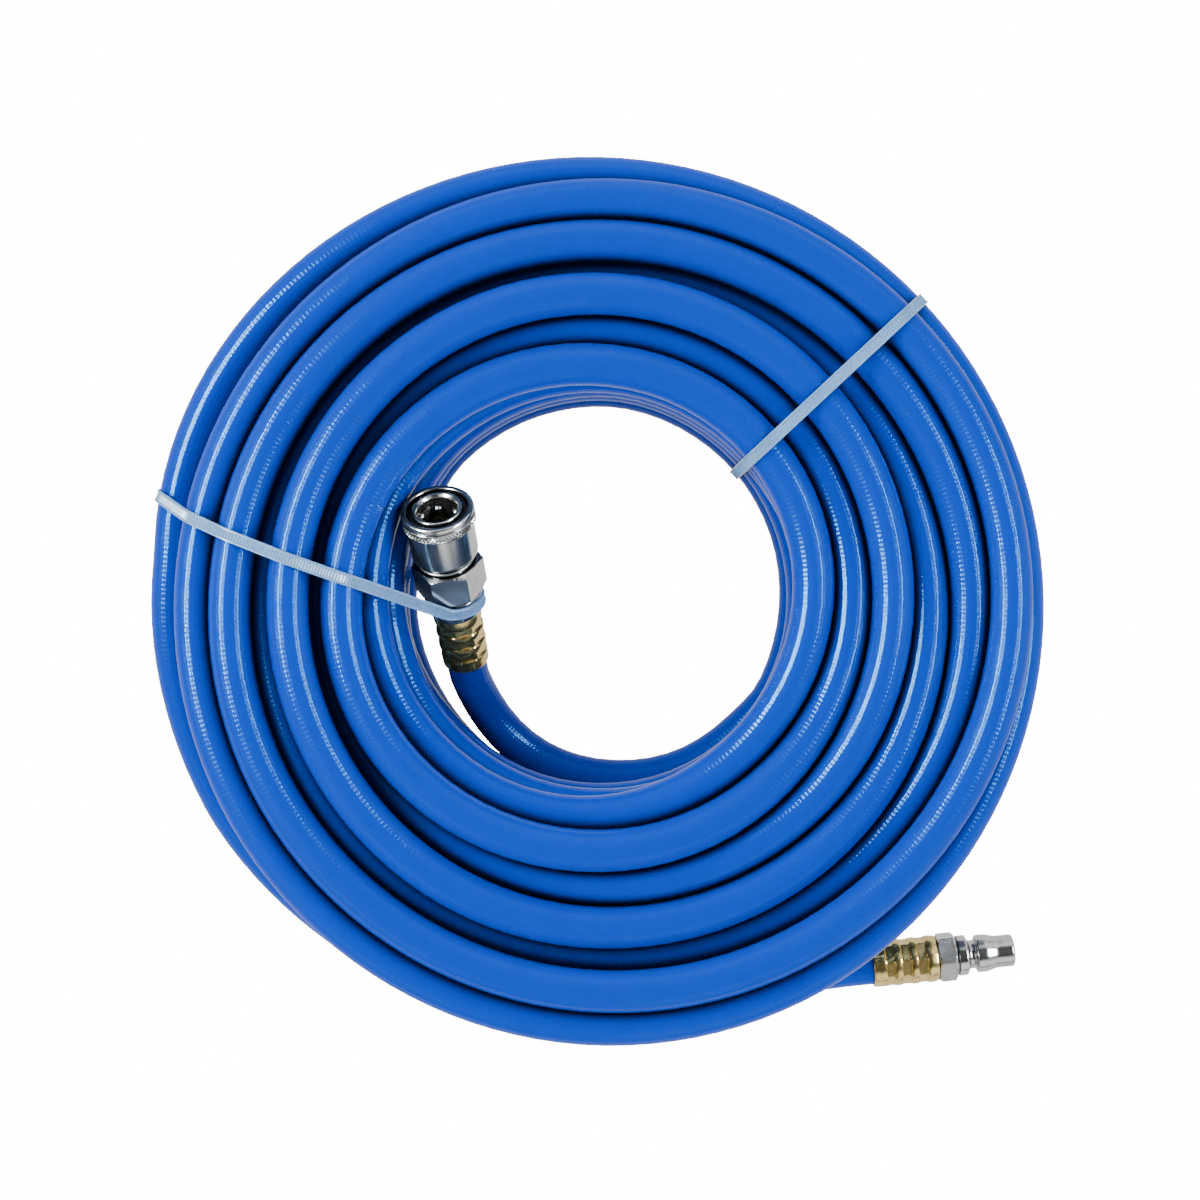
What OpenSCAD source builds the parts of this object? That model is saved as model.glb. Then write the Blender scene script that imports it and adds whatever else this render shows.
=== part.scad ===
// Coiled air hose with a quick coupler socket on one end and a plug on the other.
// Millimetres, +Z up. The origin is the centre of the coil on the surface it lies on.

/* [Hose] */
// Outside diameter of the hose
hose_od = 12.5; // [12:0.5:13]
// Inside diameter of the hose
hose_id = 8.5; // [8:0.5:8.5]

/* [Coil] */
// Radius of the hole through the middle of the coil
coil_inner_r = 59; // [58:0.5:60]
// Radius to the outside of the coil
coil_outer_r = 133.5; // [132:0.5:135]
// Number of layers of turns, one on another
coil_layers = 6; // [6:1:6]

/* [Socket] */
// Centre of the socket's mouth
socket_mouth = [-48.2, 27.2, 66];
// Lean of the socket from upright, degrees
socket_lean = 49; // [47:1:50]
// Turn of the socket about the vertical, degrees
socket_turn = 8; // [6:1:10]
// Bore that guides the mating plug
mouth_bore_r = 6.05; // [6.05:0.05:6.1]
// Travel of the release sleeve
sleeve_travel = 3; // [2.5:0.5:3]
// Number of locking balls
ball_count = 6; // [6:1:6]

/* [Plug] */
// Middle of the plug's hexagon rear face
plug_origin = [107.8, -114.5, 8.2];
// Turn of the plug about the vertical, degrees from +X
plug_turn = 6; // [5:1:7]
// Radius of the plug's nose where it is widest
nose_r = 6; // [6:0.1:6]

/* [Cable ties] */
// Width of the strap
strap_w = 3.6; // [3.4:0.1:3.8]
// Thickness of the strap
strap_t = 1.2; // [1:0.1:1.3]

/* [Hidden] */

hose_r = hose_od / 2;
layer_rise = hose_od * sqrt(3) / 2;
coil_h = hose_od + (coil_layers - 1) * layer_rise;

// Directions of the socket: out of its mouth, to its right and up across its back
socket_out = [-sin(socket_turn) * sin(socket_lean), cos(socket_turn) * sin(socket_lean), cos(socket_lean)];
socket_right = [cos(socket_turn), sin(socket_turn), 0];
socket_up = cross(socket_right, socket_out);

// Depths along the socket, measured back from its mouth
ball_depth = 5.2;
sleeve_l = 17;
hex_front = sleeve_l + sleeve_travel + 0.2;
hex_back = 31;
neck_front = 33;
ferrule_front = 39.5;
ferrule_l = 21;
relief_end = 12.6;
guide_end = 3.4;
packing_front = 13.2;
packing_l = 2.6;
seat_depth = 20;
chamber_end = 27.5;
spring_front = 8.3;

// Radii of the socket
tube_r = 7.8;
ring_groove_r = 7.3;
sleeve_gap = 0.07;
recess_r = 9.25;
relief_r = mouth_bore_r + 0.25;
sleeve_r = 11.1;
sleeve_thin_r = 10.1;
spring_room_r = 9.3;
seal_bore_r = 5.3;
chamber_r = 7.4;
neck_r = 8;
stem_r = 5.2;
passage_r = 3;
ball_r = 1.5;
ball_orbit_r = 6.35;
ferrule_r = 7.3;

// Hexagons, across flats
socket_hex = 19;
plug_hex = 14;

// Route of the hose from the socket's ferrule down to the coil's lowest, innermost turn.
// The first two points lie on the socket's own axis.
socket_exit = socket_mouth - (ferrule_front + ferrule_l) * socket_out;
socket_route = [
    socket_exit, socket_exit - 6 * socket_out,
    [-39, -28.5, 17], [-35, -36, 12], [-29.5, -43, 8.8], [-21, -50, 7],
    [-9.5, -55.2, 6.4], [4, -57.4, 6.3], [17, -56.6, 6.3], [29.5, -52.6, 6.3],
    [40.6, -45.6, 6.3], [50.4, -36.6, 6.3]
];
// Route of the hose from the coil's lowest, outermost turn to the plug's ferrule.
// The last two points lie on the plug's own axis.
plug_axis = [cos(plug_turn), sin(plug_turn), 0];
plug_exit = plug_origin - ferrule_l * plug_axis;
plug_route = [
    [-26.2, -123.2, 6.3], [-13, -125.4, 6.3], [0, -126.2, 6.3], [13, -126, 6.3],
    [26, -125.1, 6.3], [39, -123.6, 6.4], [52, -121.8, 6.7], [64.5, -119.7, 7.4],
    plug_exit - 11 * plug_axis, plug_exit
];

// Bays in the coil's foot that hold the two leads: first angle, last angle, radius and height
socket_bay = [224, 324, 69.2, 15.5];
plug_bay = [258, 306, 119, 14];
// Pocket in the coil round the sleeve: room beside the sleeve and depth from the mouth
pocket_room = 0.8;
pocket_depth = 26;

// Corners of the coil's section: radius of each rounding
top_round = 8;
foot_round = 5;
outer_foot_r = coil_outer_r - 4;
outer_foot_z = 28;

// Planes of the ties: direction, distance from the coil's axis, lean
right_tie = [43, 0, 0];
left_tie = [159.6, 11.5, 6.5];
tie_depth = 36;
head_z = 17;
strap_gap = 0.25;
strap_lift = strap_t + strap_gap;

$fn = 64;

function unit(v) = v / norm(v);
function arc(c, r, a0, a1, n) =
    [for (i = [0:n]) let (a = a0 + (a1 - a0) * i / n) c + r * [cos(a), sin(a)]];

// Section of the coil as points of radius and height
function coil_section() = concat(
    arc([coil_inner_r + foot_round, foot_round], foot_round, 180, 270, 5),
    arc([outer_foot_r - foot_round, foot_round], foot_round, 270, 350, 5),
    [[coil_outer_r, outer_foot_z]],
    arc([coil_outer_r - top_round, coil_h - top_round], top_round, 0, 90, 6),
    arc([coil_inner_r + top_round, coil_h - top_round], top_round, 90, 180, 6));

// Inner outline of a tie: the coil's section with a little room, raised by the strap under it
function tied_section() = concat(
    arc([coil_inner_r + foot_round, strap_lift + foot_round], foot_round + strap_gap, 180, 270, 5),
    arc([outer_foot_r - foot_round, strap_lift + foot_round], foot_round + strap_gap, 270, 350, 5),
    [[coil_outer_r + strap_gap, outer_foot_z]],
    arc([coil_outer_r - top_round, coil_h - top_round], top_round + strap_gap, 0, 90, 6),
    arc([coil_inner_r + top_round, coil_h - top_round], top_round + strap_gap, 90, 180, 6));

// Tube of round section along a route, with end rings square to the given directions
module tube(route, r, first_dir, last_dir, sides = 12) {
    last = len(route) - 1;
    dirs = [for (i = [0:last])
        i == 0 ? first_dir : i == last ? last_dir : unit(route[i + 1] - route[i - 1])];
    points = [for (i = [0:last])
        let (side = unit(cross(dirs[i], [0, 0, 1])), up = cross(side, dirs[i]))
        for (k = [0:sides - 1]) let (a = 360 * k / sides)
            route[i] + r * cos(a) * side + r * sin(a) * up];
    walls = [for (i = [0:last - 1]) for (k = [0:sides - 1])
        let (a = i * sides + k, b = i * sides + (k + 1) % sides)
        for (face = [[a, b, a + sides], [b, b + sides, a + sides]]) face];
    caps = [[for (k = [sides - 1:-1:0]) k], [for (k = [0:sides - 1]) last * sides + k]];
    polyhedron(points, concat(walls, caps));
}

// Closed strap along a loop of points, each with the direction of the strap's width
module strap(loop, across) {
    n = len(loop);
    points = [for (i = [0:n - 1])
        let (run = unit(loop[(i + 1) % n] - loop[(i + n - 1) % n]),
             out = unit(cross(across[i], run)), wide = cross(out, run) * strap_w / 2)
        for (p = [wide, wide + strap_t * out, -wide + strap_t * out, -wide]) loop[i] + p];
    faces = [for (i = [0:n - 1]) for (k = [0:3])
        let (a = i * 4 + k, b = i * 4 + (k + 1) % 4, c = ((i + 1) % n) * 4 + k,
             d = ((i + 1) % n) * 4 + (k + 1) % 4)
        for (face = [[a, c, b], [b, c, d]]) face];
    polyhedron(points, faces);
}

// Helical spring standing on z = 0
module spring(mean_r, wire_r, length, turns) {
    steps = 16;
    rise = length - 2 * wire_r;
    route = [for (i = [0:turns * steps]) let (a = 360 * i / steps)
        [mean_r * cos(a), mean_r * sin(a), wire_r + rise * i / (turns * steps)]];
    tube(route, wire_r, [0, 1, 0], [-sin(360 * turns), cos(360 * turns), 0], 8);
}

module at_socket() {
    translate(socket_mouth) rotate([0, 0, socket_turn]) rotate([-socket_lean, 0, 0]) children();
}

module at_plug() {
    translate(plug_origin) rotate([0, 0, plug_turn]) rotate([0, 90, 0]) children();
}

// Puts a drawing of radius and height into a tie's plane, as thick as the given width
module in_tie_plane(plane, width) {
    rotate([0, 0, plane[0]]) translate([0, plane[1], 0]) rotate([90 - plane[2], 0, 0])
        linear_extrude(height = width, center = true) children();
}

// Channel under the coil that keeps a strap off the surface, deeper at the coil's two lower edges
module strap_channel(plane) {
    inner = coil_inner_r;
    outer = outer_foot_r;
    in_tie_plane(plane, strap_w + 0.6) polygon([
        [inner - 8, -2], [outer + 8, -2], [outer + 8, strap_lift + 6], [outer - 1.6, strap_lift + 6],
        [outer - 1.6, strap_lift + 1.4], [outer - 5, strap_lift + 1.4], [outer - 5, strap_lift],
        [inner + 5, strap_lift], [inner + 5, strap_lift + 1.4], [inner + 1.6, strap_lift + 1.4],
        [inner + 1.6, strap_lift + 6], [inner - 8, strap_lift + 6]]);
}

// Sector of a ring, from one radius to another, below a height
module floor_sector(r0, r1, top, from, to) {
    rotate([0, 0, from]) rotate_extrude(angle = to - from, $fn = 96)
        translate([r0, -1]) square([r1 - r0, top + 1]);
}

module hose_coil() color("royalblue") difference() {
    rotate_extrude($fn = 96) polygon(coil_section());
    floor_sector(coil_inner_r - 3, socket_bay[2], socket_bay[3], socket_bay[0], socket_bay[1]);
    floor_sector(plug_bay[2], coil_outer_r + 2, plug_bay[3], plug_bay[0], plug_bay[1]);
    strap_channel(right_tie);
    strap_channel(left_tie);
    at_socket() translate([0, 0, -pocket_depth]) cylinder(r = sleeve_r + pocket_room, h = coil_h);
}

module hose_socket_lead() color("royalblue")
    tube(socket_route, hose_r, -socket_out, [-sin(socket_bay[1]), cos(socket_bay[1]), 0]);

module hose_plug_lead() color("royalblue")
    tube(plug_route, hose_r, [-sin(plug_bay[0]), cos(plug_bay[0]), 0], plug_axis);

module hose_end() color("royalblue") difference() {
    cylinder(r = hose_r, h = ferrule_l - 1);
    translate([0, 0, -1]) cylinder(d = hose_id, h = ferrule_l + 1);
}

module hose_socket_end() at_socket() translate([0, 0, -ferrule_front - ferrule_l]) hose_end();
module hose_plug_end() at_plug() translate([0, 0, -ferrule_l]) hose_end();

// Stem with saw-tooth barbs that hold the hose, from z = 0 down
module barbed_stem() {
    barb_l = 4;
    rotate_extrude() polygon(concat(
        [[0, 0.5], [stem_r, 0.5], [stem_r, -0.9]],
        [for (i = [0:3]) for (p = [[4, -0.9 - i * barb_l], [4.5, -1.3 - i * barb_l], [4, -4.6 - i * barb_l]]) p],
        [[4, -19.4], [3.6, -20], [0, -20]]));
}

// Crimped ferrule from z = 0 down, with four swells between three pressed grooves
module ferrule() color("goldenrod") difference() {
    rotate_extrude() polygon(concat(
        [[stem_r, 0], [ferrule_r - 0.8, 0]],
        arc([ferrule_r - 0.8, -0.8], 0.8, 90, 0, 4),
        [for (i = [0:2]) let (z = -5.4 - i * 5)
            for (p = [[ferrule_r, z + 1.4], [ferrule_r - 0.5, z + 0.5], [ferrule_r - 0.5, z - 0.5],
                      [ferrule_r, z - 1.4]]) p],
        [[ferrule_r - 0.1, -ferrule_l], [stem_r, -ferrule_l]]));
    translate([0, 0, -ferrule_l - 1]) cylinder(r = hose_r, h = ferrule_l);
}

module socket_ferrule() at_socket() translate([0, 0, -ferrule_front]) ferrule();
module plug_ferrule() at_plug() ferrule();

// Hexagonal bar along z whose two ends are turned to a cone
module turned_hex(flats, length) {
    corner_r = flats / sqrt(3);
    intersection() {
        cylinder(r = corner_r, h = length, $fn = 6);
        rotate_extrude() polygon([[0, 0], [flats / 2 - 0.2, 0], [corner_r + 0.1, 0.9],
            [corner_r + 0.1, length - 0.9], [flats / 2 - 0.2, length], [0, length]]);
    }
}

module socket_body() color("silver") at_socket() difference() {
    union() {
        rotate_extrude() polygon([[0, 0], [tube_r - 0.7, 0], [tube_r, -0.7], [tube_r, -1.4],
            [ring_groove_r, -1.4], [ring_groove_r, -2.4], [tube_r, -2.4], [tube_r, -hex_front - 0.5],
            [0, -hex_front - 0.5]]);
        translate([0, 0, -hex_back]) turned_hex(socket_hex, hex_back - hex_front);
    }
    rotate_extrude() polygon([[0, 1], [mouth_bore_r + 1.6, 1], [mouth_bore_r, -0.6], [mouth_bore_r, -guide_end],
        [relief_r, -guide_end], [relief_r, -relief_end], [seal_bore_r, -relief_end],
        [seal_bore_r, -packing_front], [6.9, -packing_front], [6.9, -packing_front - packing_l],
        [seal_bore_r, -packing_front - packing_l], [seal_bore_r, -seat_depth], [chamber_r, -seat_depth],
        [chamber_r, -hex_back - 1], [0, -hex_back - 1]]);
    for (i = [1:ball_count]) rotate([0, 0, ball_angle(i)])
        translate([5.5, 0, -ball_depth]) rotate([0, 90, 0]) cylinder(r = ball_r + 0.05, h = 4);
}

function ball_angle(i) = 90 + 360 * (i - 1) / ball_count;

module socket_sleeve() color("gainsboro") at_socket() rotate_extrude() polygon([
    [recess_r, 0], [sleeve_r - 0.6, 0], [sleeve_r, -0.7], [sleeve_r, -4.3], [sleeve_thin_r, -4.8],
    [sleeve_thin_r, -sleeve_l + 0.5], [sleeve_thin_r - 0.4, -sleeve_l], [spring_room_r, -sleeve_l],
    [spring_room_r, -spring_front + 0.1], [tube_r + sleeve_gap, -spring_front + 0.1],
    [tube_r + sleeve_gap, -ball_depth - 0.6], [recess_r, -3]]);

module sleeve_stop_ring() color("dimgray") at_socket() translate([0, 0, -2.4]) difference() {
    cylinder(r = 8.9, h = 1);
    translate([0, 0, -1]) cylinder(r = ring_groove_r, h = 3);
}

module sleeve_spring() color("lightsteelblue") at_socket() translate([0, 0, -hex_front + 0.05])
    spring(8.55, 0.4, hex_front - spring_front - 0.1, 5);

module lock_ball(i) color("white") at_socket() rotate([0, 0, ball_angle(i)])
    translate([ball_orbit_r, 0, -ball_depth]) sphere(r = ball_r);

module plug_packing() color("black") at_socket() translate([0, 0, -packing_front - packing_l])
    difference() {
        cylinder(r = 6.9, h = packing_l);
        translate([0, 0, -1]) cylinder(r = 4.9, h = packing_l + 2);
    }

module valve_poppet() color("darkgoldenrod") at_socket() difference() {
    rotate_extrude() polygon([[0, -16.4], [4.5, -16.4], [4.9, -16.8], [4.9, -20.8], [6.9, -20.8],
        [6.9, -22.2], [2.2, -22.2], [2.2, -24.2], [1.6, -24.6], [0, -24.6]]);
    translate([0, 0, -20.4]) cylinder(r = 3.5, h = 6);
    for (a = [30, 150, 270]) rotate([0, 0, a])
        translate([2.5, 0, -18.8]) rotate([0, 90, 0]) cylinder(r = 1.1, h = 4);
}

module valve_seal() color("black") at_socket() translate([0, 0, -20.8]) difference() {
    cylinder(r = 6.6, h = 0.75);
    translate([0, 0, -1]) cylinder(r = 4.9, h = 3);
}

module valve_spring() color("lightsteelblue") at_socket() translate([0, 0, -chamber_end + 0.05])
    spring(5.4, 0.3, chamber_end - 22.3, 4);

module hose_adapter() color("silver") at_socket() difference() {
    union() {
        rotate_extrude() polygon([[0, -chamber_end], [chamber_r, -chamber_end], [chamber_r, -hex_back - 0.6],
            [9.2, -hex_back - 0.6], [9.2, -neck_front + 0.4], [neck_r, -neck_front],
            [neck_r, -ferrule_front], [0, -ferrule_front]]);
        translate([0, 0, -ferrule_front]) barbed_stem();
    }
    translate([0, 0, -ferrule_front - ferrule_l]) cylinder(r = passage_r, h = 2 * ferrule_l);
}

module adapter_gasket() color("darkslategray") at_socket() translate([0, 0, -hex_back - 0.6])
    difference() {
        cylinder(r = 9, h = 0.6);
        translate([0, 0, -1]) cylinder(r = chamber_r, h = 3);
    }

module plug_body() color("silver") at_plug() difference() {
    union() {
        rotate([0, 0, 6]) turned_hex(plug_hex, 5.8);
        rotate_extrude() polygon(concat(
            [[0, 0.2], [5.9, 0.2], [5.9, 6.4], [6.4, 6.6], [6.4, 9.2], [5.8, 9.6], [4.7, 10]],
            arc([4.7, 10.2], 0.2, 270, 180, 3),
            [[4.5, 12.1], [5.4, 12.4], [nose_r, 12.8], [nose_r, 15.4], [5.1, 18.8], [5.1, 24.1],
             [4.6, 24.6], [0, 24.6]]));
        barbed_stem();
    }
    translate([0, 0, -ferrule_l]) cylinder(r = passage_r, h = 48);
    translate([0, 0, 23.6]) cylinder(r1 = passage_r, r2 = passage_r + 1.1, h = 1.1);
}

// A point of a tie's plane in the part's frame
function tie_point(plane, p) =
    let (y = plane[1] + p[1] * sin(plane[2]), c = cos(plane[0]), s = sin(plane[0]))
    [c * p[0] - s * y, s * p[0] + c * y, p[1] * cos(plane[2]) + strap_w / 2 * sin(plane[2])];
function tie_across(plane) =
    [-sin(plane[0]) * cos(plane[2]), cos(plane[0]) * cos(plane[2]), -sin(plane[2])];

// Head that the strap is threaded through, low on the outside of the coil
module tie_head(plane) {
    in_tie_plane(plane, 5.4) translate([outer_foot_r + 2.9, head_z - 2.6])
        polygon([[0, 0.3], [3.2, 0.8], [3.9, 1.4], [3.9, 4.2], [3.2, 4.8], [0.5, 5.2]]);
}

module cable_tie_right() color("lightcyan") union() {
    loop = [for (p = tied_section()) tie_point(right_tie, p)];
    strap(loop, [for (p = loop) tie_across(right_tie)]);
    tie_head(right_tie);
}

// The left tie leaves the coil's inner edge and goes round the socket's neck too
module cable_tie_left() color("lightcyan") union() {
    flat = [for (p = tied_section()) if (p[0] > coil_inner_r + 1.5 || p[1] > coil_h - 6.5) p];
    on_coil = [for (p = flat) tie_point(left_tie, p)];
    hub = socket_mouth - tie_depth * socket_out;
    round_neck = [for (a = [80:-21:-25]) hub + (neck_r + 0.1) * (cos(a) * socket_right + sin(a) * socket_up)];
    loop = concat(on_coil, round_neck);
    across = concat([for (p = on_coil) tie_across(left_tie)],
        [for (p = round_neck) -socket_out]);
    strap(loop, across);
    tie_head(left_tie);
}

hose_coil();
hose_socket_lead();
hose_plug_lead();
hose_socket_end();
hose_plug_end();
socket_body();
socket_sleeve();
sleeve_spring();
sleeve_stop_ring();
lock_ball(1);  // lock_ball_1
lock_ball(2);  // lock_ball_2
lock_ball(3);  // lock_ball_3
lock_ball(4);  // lock_ball_4
lock_ball(5);  // lock_ball_5
lock_ball(6);  // lock_ball_6
plug_packing();
valve_poppet();
valve_seal();
valve_spring();
hose_adapter();
adapter_gasket();
socket_ferrule();
plug_body();
plug_ferrule();
cable_tie_right();
cable_tie_left();
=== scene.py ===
"""Detailed look of a coiled air hose with a quick coupler socket and a plug.

The hose is one tube along a path that is solved here: every turn is pushed clear of the
others, the floor and the socket until the coil is packed. The metal parts are turned
profiles, the ties follow the outline of the turns that they hold. Lengths inside the
classes are millimetres in the row frame and become metres when a mesh is made.
"""

import logging
import math
from dataclasses import dataclass
from enum import Enum
from typing import Callable

import bmesh
import bpy
import numpy as np
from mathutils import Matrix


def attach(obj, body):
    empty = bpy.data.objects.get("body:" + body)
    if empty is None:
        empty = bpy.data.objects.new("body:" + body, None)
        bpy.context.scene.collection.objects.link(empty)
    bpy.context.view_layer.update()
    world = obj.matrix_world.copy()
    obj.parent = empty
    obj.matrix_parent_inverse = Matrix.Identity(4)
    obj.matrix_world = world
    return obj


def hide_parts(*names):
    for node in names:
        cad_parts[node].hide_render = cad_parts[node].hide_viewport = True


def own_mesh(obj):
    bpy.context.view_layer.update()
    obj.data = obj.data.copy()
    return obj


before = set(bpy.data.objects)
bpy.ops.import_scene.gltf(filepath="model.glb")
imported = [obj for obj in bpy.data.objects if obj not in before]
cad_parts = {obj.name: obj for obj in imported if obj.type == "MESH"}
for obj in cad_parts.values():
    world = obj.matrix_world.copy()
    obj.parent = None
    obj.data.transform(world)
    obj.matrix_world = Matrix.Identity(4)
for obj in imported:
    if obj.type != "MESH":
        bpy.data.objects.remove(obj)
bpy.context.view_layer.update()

logging.basicConfig(level=logging.INFO, format="%(message)s")
LOG = logging.getLogger("air_hose")

MM = 0.001
TAU = 2.0 * math.pi
Array = np.ndarray


class Face(Enum):
    """How a surface's edges are shaded."""

    SOFT = 80.0
    TURNED = 32.0
    CRISP = 20.0


# ---------------------------------------------------------------- places

@dataclass(frozen=True)
class Place:
    """A right-handed frame: a part's own x, y and z axes in the row frame."""

    origin: tuple[float, float, float]
    x_axis: tuple[float, float, float]
    z_axis: tuple[float, float, float]

    @property
    def axes(self) -> Array:
        """Rows are the x, y and z axes, with y = z cross x."""
        x, z = np.array(self.x_axis), np.array(self.z_axis)
        return np.array([x, np.cross(z, x), z])

    def put(self, points: Array) -> Array:
        """Moves local points into the row frame: p = origin + local . axes."""
        return np.array(self.origin) + points @ self.axes


def socket_place(lean: float = 49.0, turn: float = 8.0) -> Place:
    """Frame of the socket, z out of its mouth: a lean from upright, then a turn about Z."""
    a, b = math.radians(lean), math.radians(turn)
    out = (-math.sin(b) * math.sin(a), math.cos(b) * math.sin(a), math.cos(a))
    return Place((-48.2, 27.2, 66.0), (math.cos(b), math.sin(b), 0.0), out)


def plug_place(turn: float = 6.0) -> Place:
    """Frame of the plug, z towards its tip and x down."""
    b = math.radians(turn)
    return Place((107.8, -114.5, 8.2), (0.0, 0.0, -1.0), (math.cos(b), math.sin(b), 0.0))


SOCKET = socket_place()
PLUG = plug_place()
FERRULE_FRONT = 39.5
FERRULE_LENGTH = 21.0


# ---------------------------------------------------------------- finishes

class Graph:
    """A thin layer over a node tree that adds and links nodes."""

    def __init__(self, tree: bpy.types.NodeTree) -> None:
        """Keeps the tree to add to."""
        self.tree = tree

    def add(self, kind: str, inputs: dict | None = None, **settings) -> bpy.types.Node:
        """Adds a node.

        Args:
            kind: the node's type, such as "ShaderNodeMath".
            inputs: socket name or number to a value or an output socket.
            **settings: properties of the node.

        Returns:
            The new node.
        """
        node = self.tree.nodes.new(kind)
        for name, value in settings.items():
            setattr(node, name, value)
        for key, value in (inputs or {}).items():
            if isinstance(value, bpy.types.NodeSocket):
                self.tree.links.new(value, node.inputs[key])
            else:
                node.inputs[key].default_value = value
        return node

    def math(self, operation: str, a, b=0.0) -> bpy.types.NodeSocket:
        """One arithmetic step; returns its output."""
        return self.add("ShaderNodeMath", {0: a, 1: b}, operation=operation).outputs[0]

    def remap(self, value, low: float, high: float, to_low: float, to_high: float):
        """Clamped linear map of value from low..high to to_low..to_high."""
        return self.add("ShaderNodeMapRange", {"Value": value, "From Min": low, "From Max": high,
                                               "To Min": to_low, "To Max": to_high}).outputs[0]

    def blend(self, factor, a: tuple, b: tuple):
        """Mix of two colours by factor."""
        node = self.add("ShaderNodeMix", {"Factor": factor}, data_type="RGBA")
        for number, value in ((6, a), (7, b)):
            if isinstance(value, bpy.types.NodeSocket):
                self.tree.links.new(value, node.inputs[number])
            else:
                node.inputs[number].default_value = value
        return node.outputs[2]


def new_group(name: str, inputs: dict[str, tuple], outputs: tuple[str, ...]) -> tuple:
    """Makes an empty node group.

    Args:
        name: the group's name.
        inputs: socket name to (socket type, default or None).
        outputs: names of float outputs.

    Returns:
        The group, its graph, its input node and its output node.
    """
    tree = bpy.data.node_groups.new(name, "ShaderNodeTree")
    for label, (kind, default) in inputs.items():
        socket = tree.interface.new_socket(label, in_out="INPUT", socket_type=kind)
        if default is not None:
            socket.default_value = default
    for label in outputs:
        tree.interface.new_socket(label, in_out="OUTPUT", socket_type="NodeSocketFloat")
    graph = Graph(tree)
    return tree, graph, graph.add("NodeGroupInput"), graph.add("NodeGroupOutput")


def braid_group() -> bpy.types.NodeTree:
    """Height of a braid under a thin skin.

    Two families of helices, u * n + v / p and u * n - v / p, with u once round the hose
    and v along it. Height = (sin a * sin b + 1) / 2, so each crossing stands up.
    """
    tree, g, start, end = new_group("Braid", {
        "Vector": ("NodeSocketVector", None), "Strands": ("NodeSocketFloat", 12.0),
        "Pitch": ("NodeSocketFloat", 0.0046)}, ("Height",))
    split = g.add("ShaderNodeSeparateXYZ", {0: start.outputs["Vector"]})
    around = g.math("MULTIPLY", split.outputs[0], start.outputs["Strands"])
    along = g.math("DIVIDE", split.outputs[1], start.outputs["Pitch"])
    one = g.math("SINE", g.math("MULTIPLY", g.math("ADD", around, along), TAU))
    two = g.math("SINE", g.math("MULTIPLY", g.math("SUBTRACT", around, along), TAU))
    cell = g.math("ADD", g.math("MULTIPLY", one, two), 1.0)
    g.tree.links.new(g.math("MULTIPLY", cell, 0.5), end.inputs["Height"])
    return tree


def wear_group() -> bpy.types.NodeTree:
    """Fine scratches, wide smudges and their height, for any hard finish."""
    tree, g, start, end = new_group("Wear", {
        "Vector": ("NodeSocketVector", None), "Scale": ("NodeSocketFloat", 400.0)},
        ("Smudge", "Grain"))
    wide = g.add("ShaderNodeTexNoise", {"Vector": start.outputs["Vector"], "Scale": 140.0, "Detail": 3.0})
    fine = g.add("ShaderNodeTexNoise", {"Vector": start.outputs["Vector"],
                                        "Scale": start.outputs["Scale"], "Detail": 4.0})
    g.tree.links.new(g.remap(wide.outputs[0], 0.35, 0.7, 0.0, 1.0), end.inputs["Smudge"])
    g.tree.links.new(g.remap(fine.outputs[0], 0.3, 0.7, 0.0, 1.0), end.inputs["Grain"])
    return tree


def gap_shade_group(closed: float = 0.38, clear: float = 0.77) -> bpy.types.NodeTree:
    """How deep in a gap a point lies, from ambient occlusion: 0 on open skin, 1 where surfaces meet. It
    masks the painted shade in gaps and recesses.

    Args:
        closed: share of open directions at which a point counts as deep.
        clear: share at which it counts as open.
    """
    tree, g, start, end = new_group("Gap", {"Reach": ("NodeSocketFloat", 0.008)}, ("Depth",))
    # ambient occlusion here drives painted shade, not a real colour of the surface
    opening = g.add("ShaderNodeAmbientOcclusion", {"Distance": start.outputs["Reach"]}, samples=8)
    g.tree.links.new(g.remap(opening.outputs["AO"], closed, clear, 1.0, 0.0), end.inputs["Depth"])
    return tree


BRAID = braid_group()
WEAR = wear_group()
GAP_SHADE = gap_shade_group()


def use_group(g: Graph, tree: bpy.types.NodeTree, inputs: dict) -> bpy.types.Node:
    """Adds a group node for tree."""
    node = g.tree.nodes.new("ShaderNodeGroup")
    node.node_tree = tree
    for key, value in inputs.items():
        if isinstance(value, bpy.types.NodeSocket):
            g.tree.links.new(value, node.inputs[key])
        else:
            node.inputs[key].default_value = value
    return node


def new_material(name: str) -> tuple[bpy.types.Material, Graph, bpy.types.Node]:
    """An empty material with its graph and its Principled shader."""
    material = bpy.data.materials.new(name)
    material.use_nodes = True
    tree = material.node_tree
    shader = tree.nodes["Principled BSDF"]
    return material, Graph(tree), shader


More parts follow.
